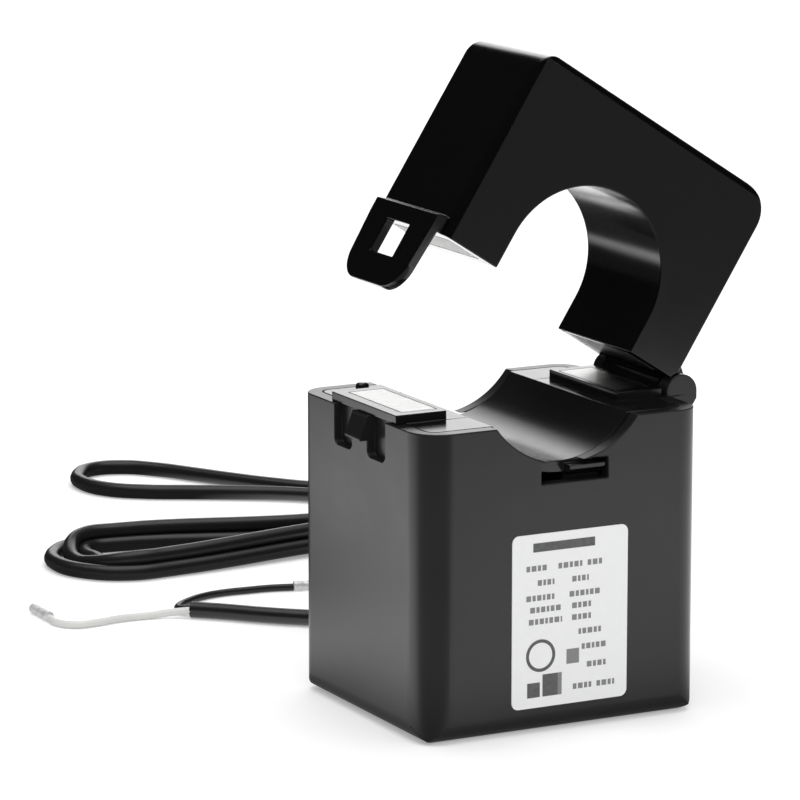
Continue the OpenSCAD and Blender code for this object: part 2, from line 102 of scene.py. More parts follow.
def lobePoint(lobe, degrees, inset, height):
    x, y, outer = lobe
    reach = outer - lead["diameter"] / 2 - inset
    angle = math.radians(degrees)
    return (x + reach * math.cos(angle), y + reach * math.sin(angle), height)


def lobePoints(lobe, angles, inset, height):
    return [lobePoint(lobe, angle, inset, height) for angle in angles]


def hankPoints():
    start, end, waistY = lead["waist"]
    rear = lead["rearLobe"]
    points = []
    for turn in range(lead["turns"]):
        points += lobePoints(rear, lead["rearIn"], *turnPlan["entry"][turn])
        offset, height = turnPlan["waist"][turn]
        points += [(end, waistY + offset, height), (start, waistY + offset, height)]
        side, tip = turnPlan["side"][turn], turnPlan["tip"][turn]
        for angle in lead["front"]:
            # 0 at the lobe's sides, 1 at its tip
            toTip = (1 - math.cos(math.radians(2 * (angle - 90)))) / 2
            inset = side[0] + (tip[0] - side[0]) * toTip
            rise = side[1] + (tip[1] - side[1]) * toTip
            points.append(lobePoint(lead["frontLobe"], angle, inset, rise))
        points += [(start, waistY - offset, height), (end, waistY - offset, height)]
        points += lobePoints(rear, lead["rearOut"], *turnPlan["leave"][turn])
    points += lobePoints(rear, lead["rearIn"][:3], *turnPlan["entry"][lead["turns"]])
    return points


def deselect():
    bpy.ops.object.select_all(action="DESELECT")


def onlySelect(piece):
    deselect()
    piece.select_set(True)
    bpy.context.view_layer.objects.active = piece


def editAll():  # edit mode on the active piece, all of it selected
    bpy.ops.object.mode_set(mode="EDIT")
    bpy.ops.mesh.select_all(action="SELECT")


def endEdit():
    bpy.ops.object.mode_set(mode="OBJECT")


def turnOutwards():
    bpy.ops.mesh.select_all(action="SELECT")
    bpy.ops.mesh.normals_make_consistent(inside=False)


def applyPlace():  # leaves the finished piece at the origin, unturned and unscaled
    bpy.ops.object.transform_apply(location=True, rotation=True, scale=True)


def assign(piece, body, slotName, *standsFor):
    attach(piece, body)
    if standsFor:
        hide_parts(*standsFor)
    return piece


def lathe(name, profile, place, turn, sides=40):
    # a disc at the first (height, radius), then extruded and resized to each next one
    deselect()
    height, radius = profile[0]
    bpy.ops.mesh.primitive_circle_add(
        vertices=sides, radius=radius * mm, fill_type="NGON", location=(0, 0, height * mm))
    piece = bpy.context.object
    piece.name = name
    applyPlace()
    editAll()
    for nextHeight, nextRadius in profile[1:]:
        step = (nextHeight - height) * mm
        bpy.ops.mesh.extrude_region_move(TRANSFORM_OT_translate={"value": (0, 0, step)})
        scale = nextRadius / radius
        bpy.ops.transform.resize(value=(scale, scale, 1))
        height, radius = nextHeight, nextRadius
    turnOutwards()
    endEdit()
    piece.location = place
    piece.rotation_euler = turn
    applyPlace()
    bpy.ops.object.shade_smooth_by_angle(angle=math.radians(35))
    return piece


def makeBlock(low, high):
    centre = [(a + b) / 2 * mm for a, b in zip(low, high)]
    size = [(b - a) * mm for a, b in zip(low, high)]
    deselect()
    bpy.ops.mesh.primitive_cube_add(size=1, location=centre, scale=size)
    applyPlace()
    return bpy.context.object


def cutAway(piece, tool):
    cut = piece.modifiers.new("cut", "BOOLEAN")
    cut.operation = "DIFFERENCE"
    cut.solver = "EXACT"
    cut.object = tool
    onlySelect(piece)
    bpy.ops.object.modifier_apply(modifier=cut.name)
    bpy.data.objects.remove(tool)


rounding = {
    "weld": 0.001, "weldCut": 0.002,  # mm: corners this close are joined, before and after the cuts
    "level": 0.5,  # degrees: faces this near to one plane become one face
    "pairTilt": 1, "pairShape": 60,  # degrees: limits for joining two triangles
    "sharp": 15,  # degrees: an edge sharper than this is rounded
    "segments": 3,
}


def soften(node, body, slotName, width, cut=()):
    # a welded copy of the moulded solid, its sharp edges rounded and its flat faces shaded flat
    r = rounding
    piece = bpy.data.objects.new(node + "_soft", nodes[node].data.copy())
    bpy.context.scene.collection.objects.link(piece)
    onlySelect(piece)
    editAll()
    bpy.ops.mesh.remove_doubles(threshold=r["weld"] * mm)
    bpy.ops.mesh.normals_make_consistent(inside=False)
    endEdit()
    for tool in cut:
        cutAway(piece, tool)
    onlySelect(piece)
    editAll()
    bpy.ops.mesh.remove_doubles(threshold=r["weldCut"] * mm)
    bpy.ops.mesh.dissolve_limited(angle_limit=math.radians(r["level"]))
    bpy.ops.mesh.quads_convert_to_tris(quad_method="BEAUTY", ngon_method="BEAUTY")
    bpy.ops.mesh.tris_convert_to_quads(
        face_threshold=math.radians(r["pairTilt"]), shape_threshold=math.radians(r["pairShape"]))
    endEdit()
    bpy.ops.object.shade_smooth()
    edge = piece.modifiers.new("edge", "BEVEL")
    edge.width = width * mm
    edge.segments = r["segments"]
    edge.limit_method = "ANGLE"
    edge.angle_limit = math.radians(r["sharp"])
    edge.use_clamp_overlap = False
    edge.loop_slide = False
    edge.miter_outer = "MITER_PATCH"
    edge.face_strength_mode = "FSTR_ALL"
    bpy.ops.object.modifier_apply(modifier=edge.name)
    editAll()
    bpy.ops.mesh.dissolve_limited(angle_limit=math.radians(r["level"]))
    endEdit()
    faces = piece.modifiers.new("faces", "WEIGHTED_NORMAL")
    faces.mode = "FACE_AREA"
    faces.weight = 100
    faces.use_face_influence = True
    bpy.ops.object.modifier_apply(modifier=faces.name)
    return assign(piece, body, slotName, node)


def makeCord(name, points, diameter):
    curve = bpy.data.curves.new(name, "CURVE")
    curve.dimensions = "3D"
    curve.resolution_u = 8
    curve.bevel_depth = 1  # each knot's radius gives the real one
    curve.bevel_resolution = 5
    curve.use_fill_caps = True
    spline = curve.splines.new("BEZIER")
    spline.bezier_points.add(len(points) - 1)
    for knot, point in zip(spline.bezier_points, points):
        knot.co = point
        knot.radius = diameter / 2
        knot.handle_left_type = knot.handle_right_type = "AUTO"
    cord = bpy.data.objects.new(name, curve)
    bpy.context.scene.collection.objects.link(cord)
    return cord


def splineLength(cord):
    line = cord.copy()
    line.data = cord.data.copy()
    line.data.bevel_depth = 0
    bpy.context.scene.collection.objects.link(line)
    bpy.context.view_layer.update()
    flat = line.evaluated_get(bpy.context.evaluated_depsgraph_get()).to_mesh()
    spots = [v.co.copy() for v in flat.vertices]
    total = sum((b - a).length for a, b in zip(spots, spots[1:]))
    bpy.data.objects.remove(line)
    return total


# The two wires at the lead's end, from its jacket to their crimped sleeves, in the lead's places
conductors = {
    "diameter": 1.1,
    "white": [
        (-18.3, 41.3, 1.2), (-20.4, 42.7, 0.9), (-23.8, 43.7, 0.56), (-28.3, 44, 0.56),
        (-32.4, 43.4, 0.56), (-35.4, 43.6, 0.56), (-37.2, 45.8, 0.56), (-37.2, 49, 0.56),
    ],
    "black": [
        (-17.5, 42.3, 1.2), (-18.6, 44.2, 0.9), (-17.6, 46.8, 0.6), (-15, 49, 0.56),
        (-11.8, 50.6, 0.56), (-8.4, 51.2, 0.56), (-4.6, 51, 0.56), (-1, 50.6, 0.56),
        (2.4, 49.6, 0.56),
    ],
    "sleeve": 6,  # length of the crimped sleeve
    "sleeveRadius": 0.75,
    "crimps": [(1.3, 2.2), (3.2, 4.1)],  # where each crimp starts and ends along the sleeve
    "crimpSlope": 0.2, "crimpWaist": 0.86,  # its slope's length, and its share of the radius
}


def onFloor(points):  # millimetres from the back wall to metres in the frame
    return [Vector(p) * mm + Vector((0, backWall, 0)) for p in points]


def makeFerrule(name, points):
    c = conductors
    radius, length, slope = c["sleeveRadius"], c["sleeve"], c["crimpSlope"]
    waist = radius * c["crimpWaist"]
    profile = [(0, radius * 0.75), (0.12, radius)]
    for start, end in c["crimps"]:
        profile += [(start, radius), (start + slope, waist), (end - slope, waist), (end, radius)]
    profile += [(length - 0.15, radius), (length, radius * 0.8)]
    before, last = onFloor(points)[-2:]
    heading = last - before
    place = (last.x, last.y, radius * mm)
    turn = (0, math.pi / 2, math.atan2(heading.y, heading.x))
    piece = lathe(name, profile, place, turn, sides=28)
    return assign(piece, "base", "ferrule_tin", "lead_ferrules")


wires = {}
for name in ("white", "black"):
    wires[name] = makeCord(
        name + "Conductor", onFloor(conductors[name]), conductors["diameter"] * mm)
    assign(wires[name], "base", "conductor_sleeve", "lead_conductors")
ferrules = [makeFerrule(name + "Ferrule", conductors[name]) for name in ("white", "black")]
print("lead ends made")

route = onFloor(lead["run"] + hankPoints() + lead["tail"])
leadCord = makeCord("lead", route, lead["diameter"] * mm)
leadLength = splineLength(leadCord)
assign(leadCord, "base", "lead_jacket", "lead_run", "lead_hank", "lead_tail")
leadTie = soften("lead_tie", "base", "tie_plastic", 0.12)
print("lead laid:", round(leadLength, 3), "m")

# Strain relief, ribbed along its taper
relief = {
    "outletX": 8, "outletZ": 9,
    "inside": 16, "wall": 2,  # y of the back wall's inner face, and its thickness
    "plug": 3.1, "plugDepth": 0.8, "plugRound": 0.2,  # the shoulder inside the wall
    "neck": 2.5,
    "flange": 3.5, "flangeDepth": 1.2, "flangeRound": 0.3,
    "length": 14, "thick": 2.35, "thin": 1.7,  # the taper outside the wall
    "ribs": 5, "bareStart": 0.2, "bareEnd": 1.2,
    "rib": [(0, 0), (0.5, 0.04), (0.6, 0.35), (0.9, 0.35)],  # share of its pitch, depth
    "tip": [(0.9, 0), (0.2, 0.04), (0, 0.25)],  # distance from the end, depth
}


def makeRelief():
    r = relief
    inside, flange = r["inside"], r["flange"]
    wallOut = inside + r["wall"]
    profile = [
        (inside - r["plugDepth"], r["plug"] - r["plugRound"]),
        (inside - r["plugDepth"] + r["plugRound"], r["plug"]), (inside, r["plug"]),
        (inside, r["neck"]), (wallOut, r["neck"]), (wallOut, flange),
        (wallOut + r["flangeDepth"] - r["flangeRound"], flange),
        (wallOut + r["flangeDepth"], flange - r["flangeRound"]),
    ]
    start = r["flangeDepth"] + r["bareStart"]
    pitch = (r["length"] - start - r["bareEnd"]) / r["ribs"]
    for rib in range(r["ribs"]):
        y = start + rib * pitch
        outer = r["thick"] + (r["thin"] - r["thick"]) * y / r["length"]
        profile += [(wallOut + y + pitch * share, outer - depth) for share, depth in r["rib"]]
    profile += [(wallOut + r["length"] - back, r["thin"] - depth) for back, depth in r["tip"]]
    place = (r["outletX"] * mm, 0, r["outletZ"] * mm)
    piece = lathe("strainRelief", profile, place, (-math.pi / 2, 0, 0), sides=48)
    return assign(piece, "base", "relief_rubber", "strain_relief")


strainRelief = makeRelief()
print("strain relief made")

# The upright edge between latch side and label side gets a fuller rounding: a block is cut
# away there, all but a round post
caseCorner = {
    "radius": 4.6, "x": -21, "y": -18,
    "reach": 3, "low": -5, "high": 60,  # how far the block stands out, down and up
    "postDepth": 90, "postZ": 20, "sides": 144,
}
# The seats stop short of the trough's edge
seatEnds = {"x": 12.9, "y": 9.8, "low": 41.5, "high": 44}


def makeCornerCutter():
    c = caseCorner
    x, y = c["x"] + c["radius"], c["y"] + c["radius"]
    sliver = makeBlock((c["x"] - c["reach"], c["y"] - c["reach"], c["low"]), (x, y, c["high"]))
    deselect()
    bpy.ops.mesh.primitive_cylinder_add(
        vertices=c["sides"], radius=c["radius"] * mm, depth=c["postDepth"] * mm,
        location=(x * mm, y * mm, c["postZ"] * mm))
    applyPlace()
    cutAway(sliver, bpy.context.object)
    return sliver


def makeSeatCutter():
    c = seatEnds
    return makeBlock((-c["x"], -c["y"], c["low"]), (c["x"], c["y"], c["high"]))


# Each moulded part with the width of its rounded edges, in millimetres
softened = {
    "lower_case": soften("lower_case", "base", "case_plastic", 0.16, [makeCornerCutter()]),
    "inner_cover": soften("inner_cover", "base", "cover_plastic", 0.12, [makeSeatCutter()]),
    "upper_case": soften("upper_case", "cap", "cap_plastic", 0.16),
    "upper_cover": soften("upper_cover", "cap", "cap_plastic", 0.12),
    "lead_tie": leadTie,
}
print("moulded parts rounded:", len(softened))

# Print on the label: bars and plain shapes, in millimetres across and down from its corner
labelPrint = {
    "left": -7.9, "top": 27.0, "face": -18.15,  # where the label's corner is
    "proud": 0.015,  # thickness of the ink
    "heading": [(3.1, 12.4, 1.2, 2.4)],  # from, to, upper and lower edge
    "rows": {  # the height of each row, and where its words start and end
        4.2: [(2.1, 5.5), (6.9, 10.5), (11.3, 13.8)], 6.2: [(3.8, 6.3), (9, 11.5)],
        8.2: [(2.1, 6.3), (8.6, 13.4)], 9.8: [(2.7, 7.5), (9, 12.2)],
        11.4: [(2.5, 7.5), (9, 12.2)], 13.4: [(10, 13.4)], 15.5: [(10.5, 14.3)],
        18: [(11.3, 14.5)], 20.8: [(9.2, 12), (12.8, 15.5)],
    },
    "rowHeight": 0.75, "dash": 0.55, "gap": 0.22,
    "shortest": 0.7, "uneven": 0.6,  # a dash's least share of its length, and what it may gain
    "room": 0.2,  # no dash starts nearer to the end than this
    "blocks": [(4.6, 7.5, 19, 22), (2.3, 4.2, 20, 22), (8.2, 10.1, 16, 18)],
    "ring": (4.3, 16.4, 2.2, 1.75),  # centre, outer and inner radius
}


def labelPlace(u, v):
    p = labelPrint
    return ((p["left"] + u) * mm, p["face"] * mm, (p["top"] - v) * mm)


def printPatch(u0, u1, v0, v1):
    deselect()
    bpy.ops.mesh.primitive_plane_add(
        size=1, location=labelPlace((u0 + u1) / 2, (v0 + v1) / 2), rotation=(math.pi / 2, 0, 0))
    patch = bpy.context.object
    patch.scale = ((u1 - u0) * mm, (v1 - v0) * mm, 1)
    applyPlace()
    return patch


def printRing():
    u, v, outer, inner = labelPrint["ring"]
    deselect()
    bpy.ops.mesh.primitive_circle_add(
        vertices=48, radius=outer * mm, fill_type="NGON", location=labelPlace(u, v),
        rotation=(math.pi / 2, 0, 0))
    ring = bpy.context.object
    applyPlace()
    editAll()
    bpy.ops.mesh.inset(thickness=(outer - inner) * mm)
    bpy.ops.mesh.delete(type="FACE")
    endEdit()
    return ring


def printWord(start, end, v):  # a row of dashes of uneven length
    p = labelPrint
    dashes, u, step = [], start, 0
    while u < end - p["room"]:
        share = p["shortest"] + p["uneven"] * ((step * 7 + int(v * 3)) % 5) / 4
        length = p["dash"] * share
        dashes.append(printPatch(u, min(u + length, end), v, v + p["rowHeight"]))
        u += length + p["gap"]
        step += 1
    return dashes


def makePrint():
    p = labelPrint
    patches = [printPatch(*box) for box in p["heading"] + p["blocks"]]
    for v, spans in p["rows"].items():
        for start, end in spans:
            patches += printWord(start, end, v)
    patches.append(printRing())
    deselect()
    for patch in patches:
        patch.select_set(True)
    bpy.context.view_layer.objects.active = patches[0]
    bpy.ops.object.join()
    piece = bpy.context.object
    piece.name = "labelPrint"
    editAll()
    bpy.ops.mesh.extrude_region_move(
        TRANSFORM_OT_translate={"value": (0, -p["proud"] * mm, 0)})
    turnOutwards()
    endEdit()
    return assign(piece, "base", "label_film")


labelInk = makePrint()
print("label printed")


class Wire:  # an output of a shader node that can be reckoned with
    def __init__(self, finish, socket):
        self.finish = finish
        self.socket = socket

    def math(self, operation, *others):
        values = dict(enumerate([self, *others]))
        return self.finish.node("ShaderNodeMath", {"operation": operation}, values)

    def __add__(self, other):
        return self.math("ADD", other)

    def __sub__(self, other):
        return self.math("SUBTRACT", other)

    def __mul__(self, other):
        return self.math("MULTIPLY", other)

    def __truediv__(self, other):
        return self.math("DIVIDE", other)

    def __radd__(self, other):
        return self + other

    def __rsub__(self, other):
        return self * -1 + other

    def under(self, limit, soft):  # 1 below the limit, 0 above it, with an edge this soft
        return ((limit - self) / soft + 0.5).clamp()

    def clamp(self):
        return self.math("MAXIMUM", 0).math("MINIMUM", 1)

    def root(self):
        return self.math("SQRT")

    def size(self):
        return self.math("ABSOLUTE")

    def whole(self):
        return self.math("FLOOR")

    def part(self):
        return self.math("FRACT")

    def power(self, exponent):
        return self.math("POWER", exponent)


inputNames = {
    "baseColor": "Base Color", "roughness": "Roughness", "metallic": "Metallic",
    "normal": "Normal", "coatWeight": "Coat Weight", "specular": "Specular IOR Level",
    "emissionColor": "Emission Color", "emissionStrength": "Emission Strength",
}


def opaque(colour):
    return (*colour, 1) if isinstance(colour, tuple) else colour


def scaled(tone, share):
    return tuple(min(1, c * share) for c in tone)


class Finish:
    def __init__(self, name):
        self.material = bpy.data.materials.new(name)
        self.material.use_nodes = True
        self.tree = self.material.node_tree
        self.shader = self.tree.nodes["Principled BSDF"]
        self.place = self.node("ShaderNodeTexCoord", output="Object")

    def node(self, kind, settings=None, sockets=None, output=0):
        # settings first, then values or wires into the sockets
        made = self.tree.nodes.new(kind)
        for key, value in (settings or {}).items():
            setattr(made, key, value)
        for key, value in (sockets or {}).items():
            self.feed(made.inputs[key], value)
        return Wire(self, made.outputs[output])

    def feed(self, socket, value):
        if isinstance(value, Wire):
            self.tree.links.new(value.socket, socket)
        else:
            socket.default_value = value

    def set(self, **sockets):
        for key, value in sockets.items():
            self.feed(self.shader.inputs[inputNames[key]], opaque(value))
        return self

    def axes(self):
        return [
            self.node("ShaderNodeSeparateXYZ", {}, {0: self.place}, output=i) for i in range(3)]

    def noise(self, grain, detail=2):  # grain is the size of a feature, in metres
        sockets = {"Vector": self.place, "Scale": 1 / grain, "Detail": detail}
        return self.node("ShaderNodeTexNoise", {}, sockets, output="Fac")

    def mix(self, factor, first, second):  # 6 and 7 are the two colours' sockets
        sockets = {"Factor": factor, 6: opaque(first), 7: opaque(second)}
        return self.node("ShaderNodeMix", {"data_type": "RGBA"}, sockets, output=2)

    def bump(self, height, depth, strength=1.0, normal=None):
        sockets = {"Height": height, "Distance": depth, "Strength": strength}
        if normal:
            sockets["Normal"] = normal
        return self.node("ShaderNodeBump", {}, sockets)


def moulding(name, tone, rough, grainDepth=0.008):
    # black moulded plastic: fine spark-eroded grain, slightly uneven sheen, faint handling marks
    f = Finish(name)
    grain = f.noise(0.3 * mm, 2)
    cloud = f.noise(9 * mm, 2)
    smear = f.noise(2.5 * mm, 4)
    f.set(
        baseColor=f.mix(cloud, scaled(tone, 0.8), scaled(tone, 1.25)),
        roughness=(rough - 0.05) + cloud * 0.06 + smear * 0.05,
        specular=0.5,
        normal=f.bump(grain, grainDepth * mm, 0.3),
    )
    return f.material


def laminated(name):
    # stack of thin sheets seen on edge: each sheet a little different, a dark line between two
    sheet = 0.35 * mm
    drag = (500, 9000, 500)  # the grinding marks are fine across the stack and long along it
    f = Finish(name)
    x, y, z = f.axes()
    count = y / sheet
    tint = f.node("ShaderNodeTexWhiteNoise", {"noise_dimensions": "1D"}, {"W": count.whole()})
    edge = ((count.part() - 0.5).size() * 2).power(8)
    marks = f.node("ShaderNodeMapping", {}, {0: f.place, 3: drag})
    scratch = f.node("ShaderNodeTexNoise", {}, {"Vector": marks, "Scale": 1, "Detail": 3})
    steel = f.mix(tint, (0.50, 0.50, 0.49), (0.66, 0.66, 0.65))
    f.set(
        baseColor=f.mix(edge * 0.7, steel, (0.20, 0.19, 0.18)), metallic=1.0,
        roughness=0.24 + tint * 0.1 + scratch * 0.12,
        normal=f.bump(scratch - edge, 0.02 * mm, 0.5),
    )
    return f.material


def plain(name, tone, rough, metallic=0.0, grain=0.5, depth=0.01):
    # small parts: a little tone and gloss variation over a fine grain
    f = Finish(name)
    fine = f.noise(grain * mm, 3)
    cloud = f.noise(grain * 12 * mm, 2)
    f.set(
        baseColor=f.mix(cloud, scaled(tone, 0.85), scaled(tone, 1.12)),
        roughness=(rough - 0.06) + fine * 0.12, metallic=metallic,
        normal=f.bump(fine, depth * mm, 0.5),
    )
    return f.material


def wound(name):
    # enamelled copper wire in close turns round the x axis; its colour is painted lighter on each
    # turn's crown and darker in the grooves between turns: painted light and shade
    pitch = 0.28 * mm
    f = Finish(name)
    x, y, z = f.axes()
    wander = f.noise(3 * mm, 2) * 0.6
    turn = (x / pitch + wander).part() * 2 - 1
    # 1 on each turn's crown, 0 in its groove: shapes the bump, and in the colour paints the grooves
    # darker as painted shade
    crownHeightAndShade = (1 - turn * turn).root()
    f.set(
        baseColor=f.mix(crownHeightAndShade, (0.22, 0.07, 0.02), (0.62, 0.26, 0.09)), metallic=0.85,
        roughness=0.28, coatWeight=0.6, normal=f.bump(crownHeightAndShade, 0.1 * mm, 0.8),
    )
    return f.material


def taped(name):
    # polyester film tape, wrapped in overlapping courses
    course = 6 * mm
    f = Finish(name)
    x, y, z = f.axes()
    lap = (x / course).part().under(0.3, 0.02)
    crease = f.noise(1.2 * mm, 4)
    f.set(
        baseColor=f.mix(lap, (0.66, 0.46, 0.06), (0.52, 0.34, 0.04)),
        roughness=0.2 + crease * 0.12, normal=f.bump(lap + crease * 0.4, 0.06 * mm, 0.6),
    )
    return f.material


def board(name):
    # green solder mask over two copper tracks with a pad each, bare metal on the pads
    trackY, trackHalf, trackEnd = 2.2 * mm, 0.7 * mm, 8.5 * mm
    padX, padRadius, padSoft = 5.65 * mm, 0.9 * mm, 2e-7  # the last one in square metres
    f = Finish(name)
    x, y, z = f.axes()
    track = (y.size() - trackY).size().under(trackHalf, 0.08 * mm) * x.size().under(
        trackEnd, 0.1 * mm)
    offPad = x.size() - padX
    pad = (offPad * offPad + y * y).under(padRadius ** 2, padSoft)
    weave = f.noise(0.4 * mm, 3)
    mask = f.mix(track, (0.012, 0.11, 0.045), (0.03, 0.2, 0.08))
    f.set(
        baseColor=f.mix(pad, mask, (0.62, 0.6, 0.56)), metallic=pad * 0.9,
        roughness=0.28 + weave * 0.1,
        normal=f.bump(track + pad + weave * 0.2, 0.03 * mm, 0.6),
    )
    return f.material


def banded(name):
    # black epoxy can with a pale cathode band, tinned leads
    canHalf, bandX, bandHalf = 2.52 * mm, 1.6 * mm, 0.45 * mm
    f = Finish(name)
    x, y, z = f.axes()
    leads = 1 - x.size().under(canHalf, 0.02 * mm)
    band = (x - bandX).size().under(bandHalf, 0.05 * mm)
    grit = f.noise(0.15 * mm, 3)
    can = f.mix(band, (0.02, 0.02, 0.02), (0.6, 0.6, 0.6))
    f.set(
        baseColor=f.mix(leads, can, (0.7, 0.69, 0.66)), metallic=leads,
        roughness=0.42 - leads * 0.16 + grit * 0.08, normal=f.bump(grit, 0.01 * mm, 0.5),
    )
    return f.material


def insulated(name, tone):
    # thin wire insulation, smooth, slightly uneven
    f = Finish(name)
    cloud = f.noise(4 * mm, 2)
    grit = f.noise(0.3 * mm, 2)
    f.set(
        baseColor=f.mix(cloud, scaled(tone, 0.88), tone), roughness=0.32 + grit * 0.1,
        normal=f.bump(grit, 0.01 * mm, 0.4),
    )
    return f.material


def twoWires(name, first, second, middle):
    # two insulated wires side by side, one colour each side of the middle
    f = Finish(name)
    x, y, z = f.axes()
    grit = f.noise(0.3 * mm, 2)
    f.set(
        baseColor=f.mix(x.under(middle, 0.02 * mm), second, first),
        roughness=0.34 + grit * 0.1, normal=f.bump(grit, 0.01 * mm, 0.4),
    )
    return f.material


def ink(name):
    # printing ink: black heading and marks, small print that reads grey
    headingFoot, marksTop, marksEnd, soft = 24.4 * mm, 13.4 * mm, -1 * mm, 0.1 * mm
    f = Finish(name)
    x, y, z = f.axes()
    cover = f.noise(0.5 * mm, 3)
    marks = z.under(marksTop, soft) * x.under(marksEnd, soft)
    small = z.under(headingFoot, soft) * (1 - marks)
    shade = f.mix(small, (0.07, 0.07, 0.072), (0.24, 0.24, 0.245))
    f.set(baseColor=f.mix(cover * 0.4, shade, (0.3, 0.3, 0.3)), roughness=0.5 + cover * 0.1)
    return f.material


def jacket(name):
    # extruded PVC: smooth and semi-glossy, faint ripples and dust
    f = Finish(name)
    ripple = f.noise(1.6 * mm, 2)
    dust = f.noise(0.12 * mm, 4)
    f.set(
        baseColor=f.mix(dust, (0.008, 0.008, 0.0085), (0.014, 0.014, 0.0145)),
        roughness=0.3 + ripple * 0.1, specular=0.5,
        normal=f.bump(ripple, 0.05 * mm, 0.3, f.bump(dust, 0.01 * mm, 0.3)),
    )
    return f.material


def film(name):
    # white label film: slight orange peel under a thin gloss
    f = Finish(name)
    peel = f.noise(0.9 * mm, 2)
    f.set(
        baseColor=f.mix(peel, (0.92, 0.925, 0.93), (0.96, 0.96, 0.96)),
        roughness=0.38 + peel * 0.06, normal=f.bump(peel, 0.01 * mm, 0.3),
    )
    return f.material


finishes = {  # name, tone, roughness, and metallic or depth of grain where it differs
    "case": moulding("casePlastic", (0.013, 0.013, 0.0135), 0.32),
    "cover": moulding("coverPlastic", (0.008, 0.008, 0.0083), 0.2),
    "cap": moulding("capPlastic", (0.002, 0.002, 0.0021), 0.15, 0.005),
    "core": laminated("coreSteel"),
    "bobbin": plain("bobbinNylon", (0.78, 0.75, 0.66), 0.5, grain=0.8),
    "copper": wound("windingCopper"),
    "tape": taped("tapeFilm"),
    "board": board("boardLaminate"),
    "diode": banded("diodeBody"),
    "boardWires": twoWires("boardWires", (0.5, 0.03, 0.02), (0.02, 0.02, 0.02), 8 * mm),
    "relief": plain("reliefRubber", (0.015, 0.015, 0.015), 0.5, grain=0.3, depth=0.02),
    "label": film("labelFilm"),
    "pin": plain("pinSteel", (0.6, 0.6, 0.61), 0.25, 1.0, grain=0.3),
    "pad": plain("padFoam", (0.05, 0.05, 0.05), 0.8, grain=0.4, depth=0.15),
    "lead": jacket("leadJacket"),
    "tie": plain("tiePlastic", (0.03, 0.03, 0.03), 0.45, grain=0.3, depth=0.03),
    "white": insulated("whiteInsulation", (0.82, 0.82, 0.8)),
    "black": insulated("blackInsulation", (0.014, 0.014, 0.014)),
    "ink": ink("labelInk"),
    "ferrules": plain("ferruleTin", (0.84, 0.84, 0.85), 0.42, 0.4, grain=0.25),
}
nodeFinish = {
    "lower_case": "case", "inner_cover": "cover", "core_left": "core", "core_right": "core",
    "bobbin": "bobbin", "secondary_winding": "copper", "winding_tape": "tape",
    "terminal_board": "board", "surge_diode": "diode", "board_wires": "boardWires",
    "strain_relief": "relief", "rating_label": "label", "hinge_pin": "pin",
    "upper_case": "cap", "upper_cover": "cap", "upper_core": "core", "core_pad": "pad",
    "lead_tie": "tie", "lead_conductors": "white", "lead_ferrules": "ferrules",
}


def paint(piece, finish):
    piece.data.materials.clear()
    piece.data.materials.append(finishes[finish])


for name, finish in nodeFinish.items():
    for spot in nodes[name].material_slots:
        spot.material = finishes[finish]
paint(leadCord, "lead")
for name, wire in wires.items():
    paint(wire, name)
for piece in ferrules:
    paint(piece, "ferrules")
paint(strainRelief, "relief")
paint(labelInk, "ink")
for name, piece in softened.items():
    paint(piece, nodeFinish[name])
print("finishes made:", len(finishes))

studio = {
    "floorSize": 12.0,
    "fill": 0.35,  # world light on the object
    "mirrored": 0.02,  # world as the glossy surfaces see it
    "paper": 0.3,  # lifts the floor to white for the camera
    "lamps": [  # name, place, target, width, height, power, and whether gloss shows it
        ("topSoft", (0, 0.1, 2.4), (0, 0, 0), 2.6, 2.6, 38, True),
        ("frontSoft", (-0.5, -1.5, 0.9), (0, 0, 0.04), 1.2, 0.9, 10, False),
        ("backCard", (0.49, 0.92, 0.34), (0, 0, 0.04), 0.62, 0.5, 2.1, True),
    ],
}

# Painted reflection: how bright the floor glows in the object's reflections, for glossy rays only,
# with painted light and painted shade; in metres
paintedReflection = {
    "level": 1.92, "gain": 0.2,  # plain brightness, and what its bright side adds
    "side": (-0.483, 0.876),  # the painted brightest part lies this way from the object
    "cornerShadeSide": (-0.643, -0.766),  # painted shade lies this way
    "cornerShadeFrom": (-0.021, -0.018),  # as seen from the case's rounded corner
    "cornerShadeEdge": 0.38, "cornerShadeSoft": 0.2, "cornerShadeDark": 0.78,
    "foot": (0.021, 0.018), "footReach": 0.027, "footLight": 0.1,  # painted shade where the case stands
    "end": 0.19, "endSoft": 0.08, "endDark": 0.83,  # painted fade: the reflected floor goes dark a hand's breadth away
    "behindRise": 0.05, "behindDark": 0.14,  # and a little darker behind the object
    "shadeX": -0.02, "shadeHalf": 0.042, "shadeSoft": 0.014,  # darker close behind
    "shadeY": 0.02, "shadeRise": 0.07, "shadeDark": 0.95,
    "spot": (0.04, -0.05), "spotRadius": 0.07, "spotDark": 0.4,  # painted shade before the hinge side
}


def span(x, y):
    return (x * x + y * y).root()
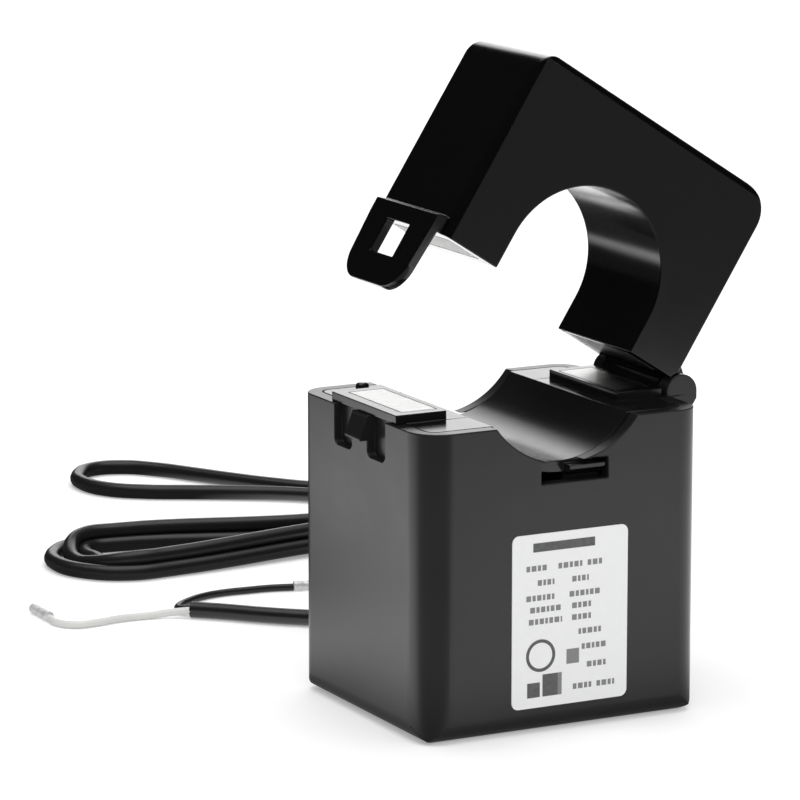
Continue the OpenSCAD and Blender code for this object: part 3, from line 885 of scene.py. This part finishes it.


# Painted reflection: the floor's glow as glossy rays see it, painted brighter to one side and with
# patches of painted shade
def paintedFloorReflection(x, y):
    s = paintedReflection
    tiny = 0.001  # keeps the divisions safe
    reach = span(x, y) + tiny
    along = (x * s["side"][0] + y * s["side"][1]) / reach
    # painted shade, seen in the rounded corner's reflection
    fromX, fromY = x - s["cornerShadeFrom"][0], y - s["cornerShadeFrom"][1]
    aside = fromX * s["cornerShadeSide"][0] + fromY * s["cornerShadeSide"][1]
    cornerShade = ((aside / (span(fromX, fromY) + tiny) - s["cornerShadeEdge"]) / s["cornerShadeSoft"]).clamp()
    # painted contact shade round the case's foot
    gapX = (x.size() - s["foot"][0]).math("MAXIMUM", 0)
    gapY = (y.size() - s["foot"][1]).math("MAXIMUM", 0)
    near = (span(gapX, gapY) / s["footReach"]).clamp() * (1 - s["footLight"]) + s["footLight"]
    # painted fade of the reflected floor, a little darker behind the object
    behind = (y / s["behindRise"]).clamp() * s["behindDark"]
    end = ((reach - s["end"]) / s["endSoft"]).clamp() * (behind + s["endDark"])
    shade = (x - s["shadeX"]).size().under(s["shadeHalf"], s["shadeSoft"])
    shade = shade * ((y - s["shadeY"]) / s["shadeRise"]).clamp()
    # painted shade spot before the hinge side
    spot = (1 - span(x - s["spot"][0], y - s["spot"][1]) / s["spotRadius"]).clamp()
    light = (s["level"] + along * s["gain"]) * near
    for dark, share in (
            (cornerShade, s["cornerShadeDark"]), (end, 1), (shade, s["shadeDark"]), (spot, s["spotDark"])):
        light = light * (1 - dark * share)
    return light


def makeFloor():
    deselect()
    bpy.ops.mesh.primitive_plane_add(size=studio["floorSize"], location=(0, 0, 0))
    floor = bpy.context.object
    floor.name = "floor"
    f = Finish("floorPaper")
    x, y, z = f.axes()
    seen = f.node("ShaderNodeLightPath", output="Is Camera Ray")
    glossy = f.node("ShaderNodeLightPath", output="Is Glossy Ray")
    # Painted reflection: for glossy rays the floor is black and glows with the painted brightness;
    # the camera sees it lifted evenly to white
    f.set(
        baseColor=f.mix(glossy, (0.86, 0.86, 0.86), (0, 0, 0)), roughness=0.9, specular=0.0,
        emissionColor=seen * studio["paper"] + glossy * paintedFloorReflection(x, y), emissionStrength=1.0,
    )
    floor.data.materials.append(f.material)


def makeLamp(name, place, target, width, height, power, inGloss):
    data = bpy.data.lights.new(name, "AREA")
    data.shape = "RECTANGLE"
    data.size, data.size_y = width, height
    data.energy = power
    lamp = bpy.data.objects.new(name, data)
    bpy.context.scene.collection.objects.link(lamp)
    lamp.location = place
    lamp.rotation_euler = (Vector(target) - Vector(place)).to_track_quat("-Z", "Y").to_euler()
    lamp.visible_camera = False
    lamp.visible_glossy = inGloss


def makeWorld():
    world = bpy.data.worlds.new("studio")
    bpy.context.scene.world = world
    world.use_nodes = True
    tree = world.node_tree
    path = tree.nodes.new("ShaderNodeLightPath")
    back = tree.nodes["Background"]

    def value(operation, first, second):
        made = tree.nodes.new("ShaderNodeMath")
        made.operation = operation
        for socket, entry in zip(made.inputs, (first, second)):
            if isinstance(entry, float):
                socket.default_value = entry
            else:
                tree.links.new(entry, socket)
        return made.outputs[0]

    fill = studio["fill"]
    glossy = value("MULTIPLY", path.outputs["Is Glossy Ray"], studio["mirrored"] - fill)
    camera = value("MULTIPLY", path.outputs["Is Camera Ray"], 1.0 - fill)
    strength = value("ADD", value("ADD", glossy, camera), fill)
    back.inputs["Color"].default_value = (1, 1, 1, 1)
    tree.links.new(strength, back.inputs["Strength"])


makeFloor()
makeWorld()
for lamp in studio["lamps"]:
    makeLamp(*lamp)
bpy.context.scene.view_settings.view_transform = "Standard"
print("studio ready")
